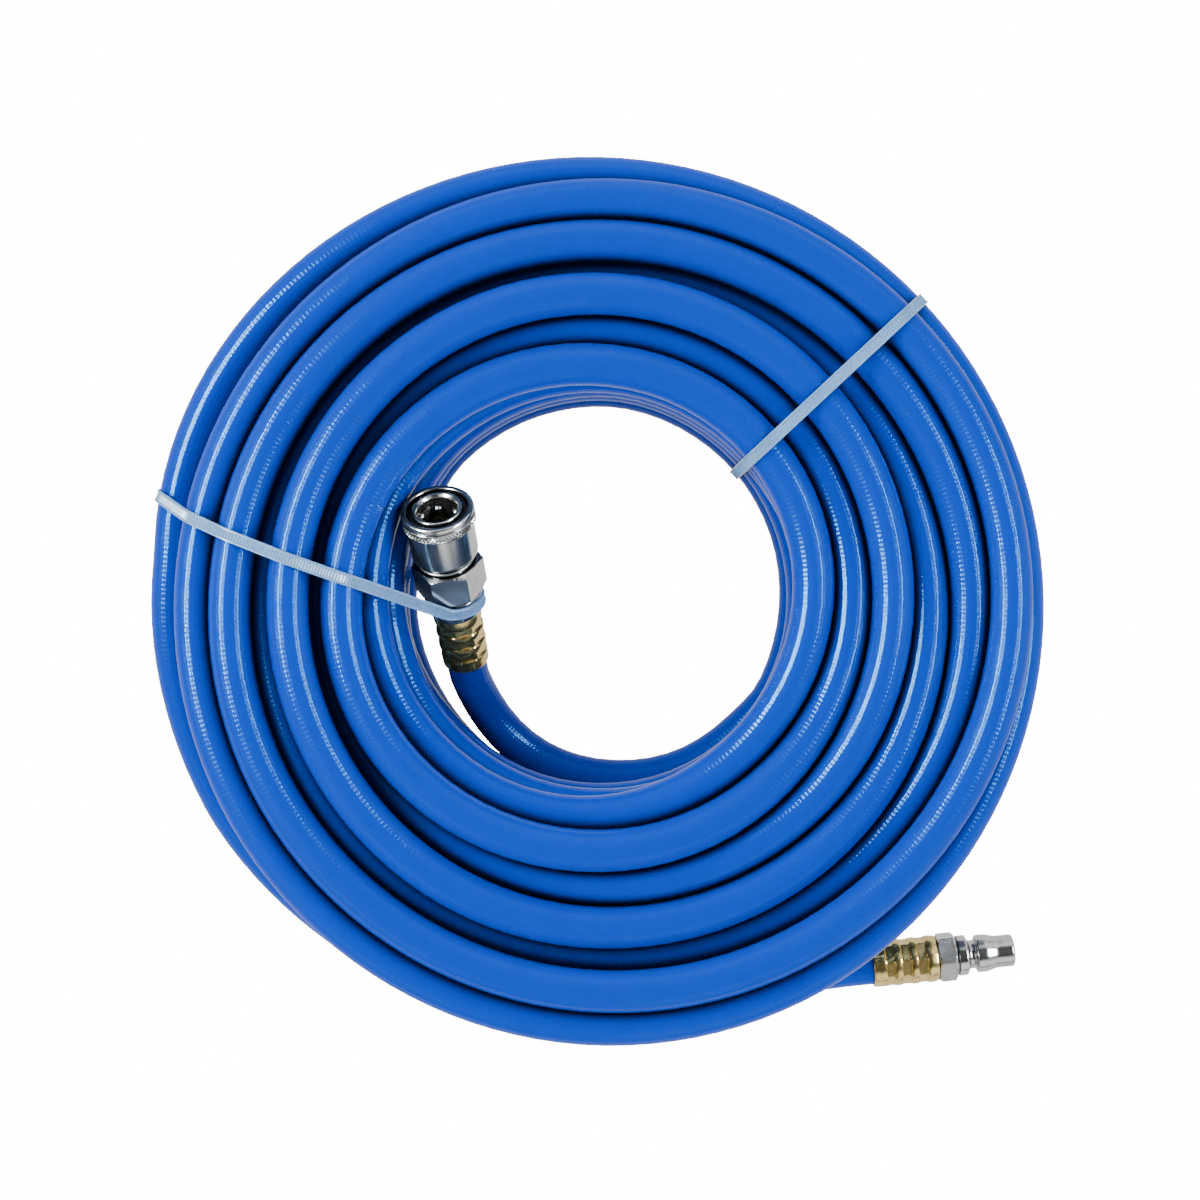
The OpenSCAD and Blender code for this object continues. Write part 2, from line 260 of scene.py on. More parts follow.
@dataclass(frozen=True)
class HoseSkin:
    """Soft blue hose: glossy skin over a braid that prints through, with painted shade deep in the gaps."""

    name: str = "hose_pvc"
    colour: tuple = (0.0, 0.050, 0.52, 1.0)
    shade: tuple = (0.0, 0.044, 0.47, 1.0)
    mirrored: tuple = (0.03, 0.05, 0.08, 1.0)
    # colour of the painted shade deep in the gaps between turns
    gap: tuple = (0.0, 0.003, 0.03, 1.0)
    sheen: tuple = (0.16, 0.52, 1.0, 1.0)
    roughness: float = 0.19
    bump: float = 0.16

    def build(self) -> bpy.types.Material:
        """Makes the material; it reads the hose's own map in metres.

        Mirror rays see it dark and nearly neutral, which keeps the plating from turning blue.
        """
        material, g, shader = new_material(self.name)
        uv = g.add("ShaderNodeUVMap", uv_map="hose").outputs[0]
        place = g.add("ShaderNodeTexCoord").outputs["Object"]
        braid = use_group(g, BRAID, {"Vector": uv, "Strands": 14.0, "Pitch": 0.0028})
        wear = use_group(g, WEAR, {"Vector": place, "Scale": 900.0})
        height = g.math("ADD", g.math("MULTIPLY", braid.outputs["Height"], 0.8),
                        g.math("MULTIPLY", wear.outputs["Grain"], 0.25))
        bump = g.add("ShaderNodeBump", {"Height": height, "Strength": self.bump, "Distance": 0.0004})
        skin = g.blend(g.math("MULTIPLY", wear.outputs["Smudge"], 0.6), self.colour, self.shade)
        # painted shade: the skin colour goes towards the gap colour where ambient occlusion finds a gap
        depth = use_group(g, GAP_SHADE, {"Reach": 0.008}).outputs["Depth"]
        skin = g.blend(g.math("MULTIPLY", depth, 0.95), skin, self.gap)
        ray = g.add("ShaderNodeLightPath").outputs["Is Glossy Ray"]
        g.tree.links.new(g.blend(g.math("MULTIPLY", ray, 0.92), skin, self.mirrored),
                         shader.inputs["Base Color"])
        g.tree.links.new(g.remap(wear.outputs["Smudge"], 0.0, 1.0, self.roughness - 0.04,
                                 self.roughness + 0.06), shader.inputs["Roughness"])
        g.tree.links.new(bump.outputs[0], shader.inputs["Normal"])
        shader.inputs["IOR"].default_value = 1.5
        shader.inputs["Specular IOR Level"].default_value = 0.3
        shader.inputs["Specular Tint"].default_value = self.sheen
        return material


@dataclass(frozen=True)
class Metal:
    """Polished or brushed metal with smudges and fine grain, with painted shade in its recesses."""

    name: str
    colour: tuple
    dark: tuple
    roughness: float
    bump: float = 0.05
    grain: float = 900.0
    # reach of the ambient occlusion that masks the painted shade, metres
    reach: float = 0.01

    def build(self) -> bpy.types.Material:
        """Makes the material from object coordinates."""
        material, g, shader = new_material(self.name)
        place = g.add("ShaderNodeTexCoord").outputs["Object"]
        wear = use_group(g, WEAR, {"Vector": place, "Scale": self.grain})
        bump = g.add("ShaderNodeBump", {"Height": wear.outputs["Grain"], "Strength": self.bump,
                                        "Distance": 0.0001})
        shader.inputs["Metallic"].default_value = 1.0
        # painted shade: the base colour goes towards near black where ambient occlusion finds a recess
        depth = use_group(g, GAP_SHADE, {"Reach": self.reach}).outputs["Depth"]
        clean = g.blend(wear.outputs["Smudge"], self.colour, self.dark)
        g.tree.links.new(g.blend(g.math("MULTIPLY", depth, 0.9), clean, (0.02, 0.02, 0.02, 1.0)),
                         shader.inputs["Base Color"])
        g.tree.links.new(g.remap(wear.outputs["Smudge"], 0.0, 1.0, self.roughness,
                                 self.roughness + 0.07), shader.inputs["Roughness"])
        g.tree.links.new(bump.outputs[0], shader.inputs["Normal"])
        return material


@dataclass(frozen=True)
class Polymer:
    """Nylon or rubber; light passes a little way into it if soft is set."""

    name: str
    colour: tuple
    dark: tuple
    roughness: float
    soft: float = 0.0

    def build(self) -> bpy.types.Material:
        """Makes the material from object coordinates."""
        material, g, shader = new_material(self.name)
        place = g.add("ShaderNodeTexCoord").outputs["Object"]
        wear = use_group(g, WEAR, {"Vector": place, "Scale": 700.0})
        bump = g.add("ShaderNodeBump", {"Height": wear.outputs["Grain"], "Strength": 0.12,
                                        "Distance": 0.0001})
        g.tree.links.new(g.blend(wear.outputs["Smudge"], self.colour, self.dark),
                         shader.inputs["Base Color"])
        g.tree.links.new(g.remap(wear.outputs["Grain"], 0.0, 1.0, self.roughness - 0.05,
                                 self.roughness + 0.05), shader.inputs["Roughness"])
        g.tree.links.new(bump.outputs[0], shader.inputs["Normal"])
        shader.inputs["Transmission Weight"].default_value = self.soft
        shader.inputs["IOR"].default_value = 1.45
        return material


HOSE_SKIN = HoseSkin().build()
NICKEL = Metal("nickel_plate", (0.76, 0.75, 0.73, 1), (0.62, 0.61, 0.60, 1), 0.14).build()
BALL_STEEL = Metal("ball_steel", (0.72, 0.72, 0.74, 1), (0.62, 0.62, 0.65, 1), 0.08).build()
SPRING_STEEL = Metal("spring_steel", (0.5, 0.51, 0.53, 1), (0.38, 0.39, 0.41, 1), 0.28).build()
RING_STEEL = Metal("ring_steel", (0.12, 0.12, 0.13, 1), (0.07, 0.07, 0.08, 1), 0.35).build()
FERRULE_BRASS = Metal("ferrule_brass", (1.0, 0.77, 0.30, 1), (0.86, 0.62, 0.23, 1), 0.17, 0.1).build()
VALVE_BRASS = Metal("valve_brass", (0.55, 0.42, 0.22, 1), (0.42, 0.31, 0.16, 1), 0.25).build()
NYLON = Polymer("tie_nylon", (0.30, 0.55, 0.88, 1), (0.23, 0.46, 0.82, 1), 0.3, 0.25).build()
RUBBER = Polymer("seal_rubber", (0.012, 0.012, 0.013, 1), (0.02, 0.02, 0.021, 1), 0.5).build()
FIBRE = Polymer("gasket_fibre", (0.06, 0.09, 0.08, 1), (0.04, 0.06, 0.06, 1), 0.6).build()


# ---------------------------------------------------------------- meshes

@dataclass
class Sheet:
    """A grid of points, rows by columns, that closes on itself one or both ways."""

    points: Array
    close_rows: bool = False
    close_columns: bool = True

    @property
    def shape(self) -> tuple[int, int]:
        """Rows and columns of points."""
        return self.points.shape[0], self.points.shape[1]

    def quads(self) -> Array:
        """Corner numbers of each quad, rows outermost."""
        rows, columns = self.shape
        i = np.arange(rows if self.close_rows else rows - 1)[:, None]
        j = np.arange(columns if self.close_columns else columns - 1)[None, :]
        down, right = (i + 1) % rows, (j + 1) % columns
        return np.stack([i * columns + j, i * columns + right,
                         down * columns + right, down * columns + j], axis=-1).reshape(-1, 4)

    def caps(self) -> list[list[int]]:
        """The first and last rings as two faces, where the rows don't close."""
        rows, columns = self.shape
        if self.close_rows:
            return []
        first, last = np.arange(columns)[::-1], np.arange(columns) + (rows - 1) * columns
        return [first.tolist(), last.tolist()]


def make_piece(name: str, sheets: list[Sheet], material: bpy.types.Material,
               face: Face = Face.TURNED, uv: Array | None = None) -> bpy.types.Object:
    """Makes one object from grids of points in millimetres.

    Args:
        name: the piece's name.
        sheets: closed grids; open ends get a cap.
        material: its finish.
        face: edges sharper than this many degrees stay crisp.
        uv: for a single sheet, the map at each point, one column more than the points.

    Returns:
        The object, at the origin.
    """
    points, faces, offset = [], [], 0
    for sheet in sheets:
        points.append(sheet.points.reshape(-1, 3))
        faces += (sheet.quads() + offset).tolist()
        faces += [[n + offset for n in cap] for cap in sheet.caps()]
        offset += points[-1].shape[0]
    mesh = bpy.data.meshes.new(name)
    mesh.from_pydata((np.concatenate(points) * MM).tolist(), [], faces)
    if uv is not None:
        layer = mesh.uv_layers.new(name="hose")
        corners = np.stack([uv[:-1, :-1], uv[:-1, 1:], uv[1:, 1:], uv[1:, :-1]], axis=2).reshape(-1, 2)
        flat = np.zeros((len(mesh.loops), 2))
        flat[:len(corners)] = corners
        layer.data.foreach_set("uv", flat.ravel())
    work = bmesh.new()
    work.from_mesh(mesh)
    bmesh.ops.recalc_face_normals(work, faces=work.faces)
    work.to_mesh(mesh)
    work.free()
    mesh.materials.append(material)
    mesh.polygons.foreach_set("use_smooth", np.ones(len(mesh.polygons), dtype=bool))
    mesh.set_sharp_from_angle(angle=math.radians(face.value))
    obj = bpy.data.objects.new(name, mesh)
    bpy.context.scene.collection.objects.link(obj)
    LOG.info("%s: %d points, %d faces", name, offset, len(faces))
    return obj


def rounded(corners: list[tuple[float, float, float]], steps: int = 5) -> Array:
    """A closed profile with rounded corners.

    Args:
        corners: (radius, height, rounding) of each corner.
        steps: points on each rounding.

    Returns:
        Points (n, 2). Each rounding is a quadratic curve between the two tangent points,
        p(t) = (1-t)^2 a + 2t(1-t) c + t^2 b.
    """
    data = np.array(corners, dtype=float)
    here, before, after = data[:, :2], np.roll(data[:, :2], 1, 0), np.roll(data[:, :2], -1, 0)
    back, on = before - here, after - here
    back_length, on_length = np.linalg.norm(back, axis=1), np.linalg.norm(on, axis=1)
    reach = np.minimum(data[:, 2], 0.45 * np.minimum(back_length, on_length))
    a = here + back / back_length[:, None] * reach[:, None]
    b = here + on / on_length[:, None] * reach[:, None]
    t = np.linspace(0.0, 1.0, steps)[None, :, None]
    curve = (1 - t) ** 2 * a[:, None] + 2 * t * (1 - t) * here[:, None] + t ** 2 * b[:, None]
    keep = np.ones(curve.shape[:2], dtype=bool)
    keep[reach < 1e-6, 1:] = False
    return curve[keep]


def densify(profile: Array, step: float) -> Array:
    """Adds points so that no side of a closed profile is longer than step."""
    following = np.roll(profile, -1, 0)
    counts = np.maximum(1, np.ceil(np.linalg.norm(following - profile, axis=1) / step)).astype(int)
    start = np.repeat(np.arange(len(profile)), counts)
    first = np.concatenate([[0], np.cumsum(counts)[:-1]])
    t = (np.arange(counts.sum()) - first[start]) / counts[start]
    return profile[start] + (following[start] - profile[start]) * t[:, None]


def turned(profile: Array, place: Place, sides: int = 96,
           shape: Callable[[Array, Array, Array], Array] | None = None) -> Sheet:
    """A closed profile turned about its own z axis.

    Args:
        profile: (radius, height) points of a closed outline.
        place: where it goes.
        sides: points round the axis.
        shape: changes the radius, given radius, height and angle.

    Returns:
        A sheet closed both ways: x = r cos a, y = r sin a, z = height.
    """
    angle = (np.arange(sides) * TAU / sides)[None, :]
    radius, height = profile[:, :1], profile[:, 1:]
    if shape is not None:
        radius = shape(radius, height, angle)
    x, y = radius * np.cos(angle), radius * np.sin(angle)
    local = np.stack([x, y, np.broadcast_to(height, x.shape)], axis=-1)
    return Sheet(place.put(local), close_rows=True)


def hexagon(flats: float, low: float, high: float, roll: float = 0.0) -> Callable:
    """Radius of a hexagonal bar between two heights: flats / 2 / cos(angle to the flat).

    Args:
        flats: size across the flats.
        low: height where the hexagon starts.
        high: height where it ends.
        roll: angle of a flat's middle, degrees.
    """
    def shape(radius: Array, height: Array, angle: Array) -> Array:
        """Cuts the radius down to the flats between the two heights."""
        sixth = TAU / 6
        off = (angle - math.radians(roll) + sixth / 2) % sixth - sixth / 2
        flat = flats / 2 / np.cos(off)
        inside = (height > low - 1e-6) & (height < high + 1e-6) & (radius > flats / 2 - 1.2)
        return np.where(inside, np.minimum(radius, flat), radius)
    return shape


# ---------------------------------------------------------------- the hose's path

TOP_TURNS = (
    # angle in degrees counted on along the hose, radius of its middle
    (180, 72), (210, 70), (240, 68), (270, 65.5), (300, 63), (330, 62), (360, 63), (403, 66.7),
    (450, 67.3), (465, 70), (480, 72.6), (497, 76), (510, 77.4), (525, 79.5), (540, 80),
    (570, 80.6), (600, 79.5), (630, 77), (660, 74.4), (690, 73.2), (720, 74.7), (763, 78),
    (810, 78.6), (835, 80.4), (890, 84), (945, 86.3), (990, 86.3), (1020, 85.7), (1050, 86),
    (1080, 87.8), (1123, 91), (1140, 90.8), (1170, 89.6), (1200, 91.4), (1230, 92.6),
    (1260, 93.4), (1290, 95.8), (1320, 97.6), (1380, 98.8), (1440, 99.7), (1480, 97.5),
    (1530, 96), (1620, 101), (1710, 105), (1725, 108), (1770, 112.2), (1800, 112.2), (1830, 109),
    (1860, 104.8), (1890, 102.7), (1920, 104.2), (1950, 106), (1980, 106.3), (2010, 109.2),
    (2040, 111.3), (2070, 112.2), (2090, 115.2), (2100, 118.8), (2110, 122.3), (2130, 126),
    (2145, 126.5), (2160, 125.3), (2190, 120.5), (2220, 117), (2250, 114.9), (2280, 116.7),
    (2310, 117.3), (2340, 118.5), (2370, 122.3), (2400, 121.8), (2430, 120.9), (2460, 126.4),
    (2480, 130), (2490, 130.2), (2520, 127.8), (2550, 125.4), (2580, 121.5), (2610, 121.4),
    (2640, 126), (2670, 128.5), (2700, 130.8), (2730, 132.5), (2755, 131.5), (2778, 126))
TOP_LEVELS = (
    # angle, how many layers below the top one
    (130, 1.6), (180, 0.9), (230, 0), (825, 0), (880, 1), (920, 1), (950, 0), (1440, 0),
    (1475, 1), (1700, 1), (1735, 0), (2490, 0), (2525, 1), (2680, 1.05), (2705, 1.8), (2735, 3.1),
    (2760, 4.3), (2778, 4.95))

OUTER_WALL = (
    # bearing, radius of the outermost turn's middle in the layers below the top one
    (0, 127.4), (40, 125.6), (75, 123.8), (100, 124.4), (150, 126.2), (180, 129.2), (215, 131),
    (235, 130.4), (250, 127.4), (272, 122.6), (300, 126.2), (335, 130), (360, 128))
INNER_WALL = (
    # bearing, radius of the innermost turn's middle in those layers
    (0, 63.6), (30, 65), (60, 66.6), (85, 68.2), (140, 68.2), (155, 65.4), (200, 64.6), (230, 63.8),
    (270, 63.2), (320, 64.2), (340, 63), (360, 63.6))


@dataclass
class HosePath:
    """Centreline of the hose, solved so that its turns lie against each other.

    Every turn has a point of radius and height at each of a ring of stations. At a station
    the turns are circles in one upright plane, so packing them is a flat problem. Angles
    count on along the hose; top_start, held_from and plug_lead count from the top layer's
    first bearing of 0.

    Attributes:
        diameter: of the hose, mm.
        stations: points to a turn.
        layers: how many turns deep the coil is.
        lower_turns: turns under the top layer.
        rounds: rounds of packing.
        socket_lead: angle where the socket's lead ends.
        top_start: where the top layer starts.
        held_from: where the last turn's own route starts.
        plug_lead: where the plug's lead starts.
        push: share of an overlap that a round takes away from each turn.
        sink: how far turns settle in the first round, mm.
        pulled: share of the rounds in which turns settle and are pulled to their radii.
    """

    diameter: float = 12.5
    stations: int = 60
    layers: int = 6
    lower_turns: int = 24
    rounds: int = 900
    socket_lead: float = 324.0
    top_start: float = 130.0
    held_from: float = 2690.0
    plug_lead: float = 2778.0
    push: float = 0.42
    sink: float = 0.10
    pulled: float = 0.8

    def __post_init__(self) -> None:
        """Works out the layers' rise, the top layer's height and every station's angle."""
        self.step = 360.0 / self.stations
        self.rise = self.diameter * math.sqrt(3.0) / 2.0
        self.top = self.diameter / 2 + (self.layers - 1) * self.rise
        self.shift = 360.0 * (self.lower_turns + 1)
        self.first = 224.0 - self.step + (-224.0 % self.step)
        self.angles = np.arange(self.first, self.shift + 2826.0, self.step)

    def level(self, number: float) -> float:
        """Height of the middle of a layer, counted from 1 at the floor."""
        return self.diameter / 2 + (number - 1) * self.rise

    def lower_knots(self) -> Array:
        """Angle, radius and height of the turns below the top layer.

        Each layer holds a slot per turn and the hose shifts by a slot once a turn. The two
        layers under the top one are wound together, zigzag, from the outside in.
        """
        wide = np.linspace(65.25, 127.25, 6)
        narrow = (wide[1:] + wide[:-1]) / 2
        slots = [(r, 1) for r in wide] + [(r, 2) for r in narrow[::-1]] + [(r, 3) for r in wide]
        zigzag = [(r, 4 + i % 2) for i, r in enumerate(np.linspace(121.05, 65.25, 10))]
        moves = 575.0
        knots = [(self.socket_lead, 62.5, 1), (self.socket_lead + 40, 65.25, 1)]
        for number, slot in enumerate(slots):
            if number:
                knots.append((moves + 40 + 360 * (number - 1), *slot))
            knots.append((moves - 40 + 360 * number, *slot))
        start = moves + 360 * (len(slots) - 1)
        pace = (self.shift + self.top_start - start) / len(zigzag)
        for number, slot in enumerate(zigzag):
            knots.append((start + 35 + pace * number, *slot))
            knots.append((start - 35 + pace * (number + 1), *slot))
        data = np.array(knots)
        data[:, 2] = self.level(data[:, 2])
        return data

    def first_guess(self) -> tuple[Array, Array]:
        """Radius and height at every station, and how strongly each radius is held."""
        low = self.lower_knots()
        top = np.array(TOP_TURNS, dtype=float)
        deep = np.array(TOP_LEVELS, dtype=float)
        angle = np.concatenate([low[:, 0], top[:, 0] + self.shift])
        radius = np.interp(self.angles, angle, np.concatenate([low[:, 1], top[:, 1]]))
        level = np.interp(self.angles, deep[:, 0] + self.shift,
                          self.top - deep[:, 1] * self.rise)
        height = np.where(self.angles < self.shift + self.top_start,
                          np.interp(self.angles, low[:, 0], low[:, 2]), level)
        hold = np.clip((self.angles - self.shift - 150.0) / 60.0, 0.0, 1.0) * 0.5
        return np.stack([radius, height], axis=1), hold

    def leads(self, points: Array) -> Array:
        """Puts the two leads' own routes into points; returns which points stay still."""
        fixed = np.zeros(len(points), dtype=bool)
        route = spline(np.array(SOCKET_LEAD), 1.0)
        polar = np.degrees(np.arctan2(route[:, 1], route[:, 0])) % 360.0
        use = self.angles <= self.socket_lead
        order = np.argsort(polar)
        for column, values in enumerate((np.hypot(route[:, 0], route[:, 1]), route[:, 2])):
            points[use, column] = np.interp(self.angles[use], polar[order], values[order])
        fixed |= use
        route = spline(np.array(PLUG_LEAD), 1.0)
        polar = np.degrees(np.arctan2(route[:, 1], route[:, 0])) % 360.0 + self.shift + 2520.0
        use = self.angles >= self.shift + self.plug_lead
        for column, values in enumerate((np.hypot(route[:, 0], route[:, 1]), route[:, 2])):
            points[use, column] = np.interp(self.angles[use], polar, values)
        fixed |= self.angles >= self.shift + self.held_from
        return fixed

    def solve(self) -> Array:
        """Packs the turns.

        Each round pushes overlapping circles apart by half their overlap, by
        (d - |pi - pj|) / 2 along the line between them, pulls the top turns to their radii,
        keeps the hose off the floor, the socket and the coil's two walls, lets everything
        settle downwards and then evens out the bends along the hose.

        Returns:
            Points (n, 3) in the row frame.
        """
        points, hold = self.first_guess()
        fixed = self.leads(points)
        guess = points.copy()
        count = len(points)
        turns = -(-count // self.stations)
        spare = turns * self.stations - count
        theta = np.radians(self.angles)
        free = ~fixed
        top_part = self.angles > self.shift + self.top_start
        low = np.where(top_part, 58.0, np.interp(self.angles % 360.0, *np.array(INNER_WALL).T))
        high = np.where(top_part, 140.0, np.interp(self.angles % 360.0, *np.array(OUTER_WALL).T))
        for number in range(self.rounds):
            late = number / self.rounds
            padded = np.concatenate([points, np.full((spare, 2), -900.0)])
            grid = padded.reshape(turns, self.stations, 2)
            gap = grid[:, None] - grid[None]
            distance = np.sqrt((gap ** 2).sum(-1)) + 1e-6
            overlap = np.clip(self.diameter - distance, 0.0, self.diameter)
            overlap[np.arange(turns), np.arange(turns)] = 0.0
            moved = (gap * (overlap / distance)[..., None]).sum(1).reshape(-1, 2)[:count] * self.push
            points[free] += moved[free]
            if late < self.pulled:
                points[free, 1] -= self.sink * (1.0 - late)
                pull = hold * (guess[:, 0] - points[:, 0])
                points[free, 0] += pull[free]
            self.clear_socket(points, theta, free)
            points[free, 0] = np.clip(points[free, 0], low[free], high[free])
            points[free, 1] = np.maximum(points[free, 1], self.diameter / 2)
            for _ in range(3 if late < self.pulled else 1):
                bend = 0.5 * (points[:-2] + points[2:]) - points[1:-1]
                points[1:-1][free[1:-1]] += 0.5 * bend[free[1:-1]]
        LOG.info("coil packed: top %.1f mm, worst overlap %.2f mm, mean %.3f mm",
                 points[:, 1].max() + self.diameter / 2, overlap.max(), overlap[overlap > 0].mean())
        radius, height = points[:, 0], points[:, 1]
        return np.stack([radius * np.cos(theta), radius * np.sin(theta), height], axis=1)

    def clear_socket(self, points: Array, theta: Array, free: Array) -> None:
        """Pushes turns away from the socket, outwards, if they come within its radius.

        The socket is a line with a radius; a point's distance is to the nearest place on it.
        """
        place = np.stack([points[:, 0] * np.cos(theta), points[:, 0] * np.sin(theta), points[:, 1]], 1)
        local = (place - np.array(SOCKET.origin)) @ SOCKET.axes.T
        depth = -local[:, 2]
        reach = np.where(depth < 32.0, 11.8, 8.6) + self.diameter / 2
        off = np.hypot(local[:, 0], local[:, 1])
        beyond = np.clip(-depth, 0.0, None)
        near = np.sqrt(off ** 2 + beyond ** 2)
        close = free & (depth < 62.0) & (near < reach)
        points[close, 0] += 0.6 * (reach - near)[close]


def spline(points: Array, spacing: float) -> Array:
    """A smooth curve through points, evenly spaced.

    Cubic pieces with slopes from the neighbours, over chord length, so that
    p(t) = h00 p0 + h10 m0 + h01 p1 + h11 m1 on each piece.

    Args:
        points: (n, 3) to pass through.
        spacing: distance between the points returned.

    Returns:
        (m, 3) points.
    """
    chord = np.linalg.norm(np.diff(points, axis=0), axis=1)
    along = np.concatenate([[0.0], np.cumsum(chord)])
    slope = np.gradient(points, along, axis=0)
    fine = np.arange(0.0, along[-1], min(spacing, chord.min()) / 2)
    index = np.clip(np.searchsorted(along, fine, side="right") - 1, 0, len(chord) - 1)
    size = chord[index][:, None]
    t = ((fine - along[index]) / chord[index])[:, None]
    curve = ((2 * t ** 3 - 3 * t ** 2 + 1) * points[index] + (t ** 3 - 2 * t ** 2 + t) * size * slope[index]
             + (3 * t ** 2 - 2 * t ** 3) * points[index + 1] + (t ** 3 - t ** 2) * size * slope[index + 1])
    curve = np.concatenate([curve, points[-1:]])
    length = np.concatenate([[0.0], np.cumsum(np.linalg.norm(np.diff(curve, axis=0), axis=1))])
    even = np.linspace(0.0, length[-1], max(2, int(round(length[-1] / spacing)) + 1))
    return np.stack([np.interp(even, length, curve[:, k]) for k in range(3)], axis=1)


OUT = np.array(SOCKET.z_axis)
SOCKET_EXIT = np.array(SOCKET.origin) - (FERRULE_FRONT + FERRULE_LENGTH) * OUT
PLUG_AXIS = np.array(PLUG.z_axis)
PLUG_EXIT = np.array(PLUG.origin) - FERRULE_LENGTH * PLUG_AXIS
SOCKET_LEAD = (tuple(SOCKET_EXIT), tuple(SOCKET_EXIT - 6 * OUT), (-39, -28.5, 17), (-35, -36, 12),
               (-29.5, -43, 8.8), (-21, -50, 7), (-9.5, -55.2, 6.4), (4, -57.4, 6.3), (17, -56.6, 6.3),
               (29.5, -52.6, 6.3), (40.6, -45.6, 6.3), (50.4, -36.6, 6.3))
PLUG_LEAD = ((-26.2, -123.2, 6.3), (-13, -125.4, 6.3), (0, -126.2, 6.3), (13, -126, 6.3),
             (26, -125.1, 6.3), (39, -123.6, 6.4), (52, -121.8, 6.7), (64.5, -119.7, 7.4),
             tuple(PLUG_EXIT - 11 * PLUG_AXIS), tuple(PLUG_EXIT))


@dataclass
class Hose:
    """The hose itself: one tube from inside one ferrule to inside the other."""

    path: HosePath
    sides: int = 24
    spacing: float = 6.4
    insert: float = 18.0

    def centreline(self) -> Array:
        """Both leads and the coil as one evenly spaced line."""
        coil = self.path.solve()
        head = [SOCKET_EXIT + self.insert * OUT, SOCKET_EXIT + self.insert / 2 * OUT,
                *[np.array(p, dtype=float) for p in SOCKET_LEAD[:3]]]
        tail_route = np.array(PLUG_LEAD, dtype=float)[6:]
        tail = [*tail_route, PLUG_EXIT + self.insert / 2 * PLUG_AXIS, PLUG_EXIT + self.insert * PLUG_AXIS]
        clear_head = np.linalg.norm(coil[:8] - head[-1], axis=1)
        first = int(np.argmin(clear_head)) + 1
        reach = np.hypot(*(coil[-20:] - tail[0])[:, :2].T)
        last = len(coil) - 20 + int(np.argmin(reach))
        return spline(np.concatenate([head, coil[first:last], tail]), self.spacing)

    def build(self, line: Array) -> bpy.types.Object:
        """Makes the tube round line.

        Ring points are c + r (cos a * side + sin a * up), with side = t x z made unit and
        up = side x t, so the map's seam keeps to the coil's outer side.
        """
        along = np.gradient(line, axis=0)
        along /= np.linalg.norm(along, axis=1)[:, None]
        side = np.cross(along, [0.0, 0.0, 1.0])
        side /= np.linalg.norm(side, axis=1)[:, None]
        up = np.cross(side, along)
        angle = np.arange(self.sides) * TAU / self.sides
        radius = self.path.diameter / 2
        rings = line[:, None] + radius * (np.cos(angle)[None, :, None] * side[:, None]
                                          + np.sin(angle)[None, :, None] * up[:, None])
        run = np.concatenate([[0.0], np.cumsum(np.linalg.norm(np.diff(line, axis=0), axis=1))]) * MM
        u = np.broadcast_to(np.arange(self.sides + 1) / self.sides, (len(line), self.sides + 1))
        uv = np.stack([u, np.broadcast_to(run[:, None], u.shape)], axis=-1)
        piece = make_piece("air_hose", [Sheet(rings)], HOSE_SKIN, Face.SOFT, uv)
        LOG.info("hose: %.2f m", run[-1])
        return piece


# ---------------------------------------------------------------- the socket

@dataclass
class Ferrule:
    """A brass ferrule crimped on the hose in three bands by eight jaws."""

    name: str
    place: Place
    start: float
    node: str
    radius: float = 7.35
    bore: float = 6.3

    def build(self) -> bpy.types.Object:
        """Makes it. Swells between the bands follow a cosine; each jaw leaves a flat, r = flat / cos."""
        length, r = FERRULE_LENGTH, self.radius
        profile = densify(rounded([
            (r - 1.9, self.start, 0.1), (r, self.start, 0.8), (r - 0.15, self.start - length, 0.5),
            (self.bore, self.start - length, 0.2), (self.bore, self.start - 1.5, 0.1),
            (r - 1.9, self.start - 1.5, 0.1)]), 0.32)

        def crimp(radius: Array, height: Array, angle: Array) -> Array:
            """Swells the outside and presses the jaws' flats into its three bands."""
            depth = self.start - height
            outer = radius > self.bore + 0.45
            swell = 0.16 * np.cos(TAU * (depth - 2.6) / 5.2) * np.clip((19.5 - depth) / 4, 0.0, 1.0)
            off = (angle + 0.2) % (TAU / 8) - TAU / 16
            flat = (self.radius - 0.72) / np.cos(off)
            from_band = np.abs((depth - 2.6) % 5.2 - 2.6)
            band = (from_band < 1.35) & (depth > 3.4) & (depth < 17.6)
            swollen = radius + swell
            return np.where(outer, np.where(band, np.minimum(swollen, flat), swollen), radius + 0.0 * angle)

        sheet = turned(profile, self.place, 128, crimp)
        piece = make_piece(self.name, [sheet], FERRULE_BRASS, Face.TURNED)
        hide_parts(self.node)
        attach(piece, "hose")
        return piece


